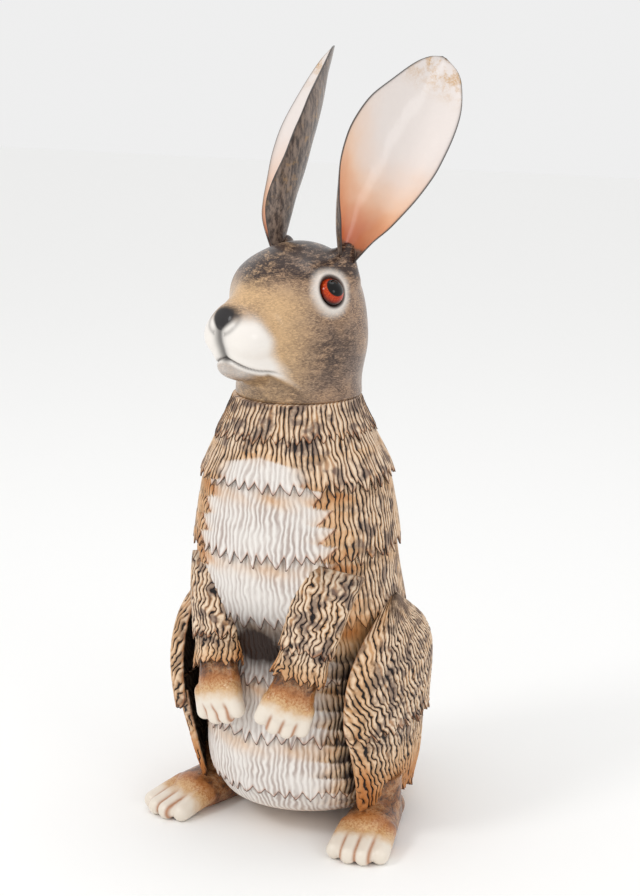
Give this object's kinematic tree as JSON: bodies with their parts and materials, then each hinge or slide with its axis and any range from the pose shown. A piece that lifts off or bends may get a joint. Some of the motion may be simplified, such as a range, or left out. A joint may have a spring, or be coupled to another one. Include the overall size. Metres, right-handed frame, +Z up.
{
  "type": "rabbit sculpture",
  "caption": "Upright rabbit figure of painted sheet metal with overlapping fur bands, curled ears and glass eyes.",
  "frame": {"origin": "on the ground, under the middle of the space that the rabbit takes up", "axes": "+Z up; the rabbit's body faces -Y and its own left side is +X"},
  "size_m": [0.2634, 0.2934, 0.7177],
  "materials": {
    "fur_paint": "semi-gloss enamel, brown fur strokes over tan",
    "belly_paint": "semi-gloss enamel, white with pinkish tan grooves",
    "head_paint": "gloss enamel, mottled brown over tan",
    "ear_paint": "gloss enamel, pearly white to orange inside, brown outside",
    "toe_paint": "gloss enamel, white toes and orange-brown knuckles",
    "eye_glass": "polished glass eye, orange-red iris"
  },
  "bodies": {
    "root": {"neck_collar": "fur_paint", "shoulder_band": "fur_paint", "chest_band": "belly_paint", "waist_band": "belly_paint", "belly_band": "belly_paint", "lap_band": "belly_paint", "hem_band": "belly_paint", "seat_base": "belly_paint", "head_shell": "head_paint", "left_eye": "eye_glass", "right_eye": "eye_glass", "left_ear": "ear_paint", "right_ear": "ear_paint", "left_upper_arm": "fur_paint", "left_forearm": "fur_paint", "left_paw": "toe_paint", "left_haunch": "fur_paint", "left_shank": "fur_paint", "left_foot": "toe_paint", "right_upper_arm": "fur_paint", "right_forearm": "fur_paint", "right_paw": "toe_paint", "right_haunch": "fur_paint", "right_shank": "fur_paint", "right_foot": "toe_paint", "tail": "belly_paint"}
  },
  "joints": []
}
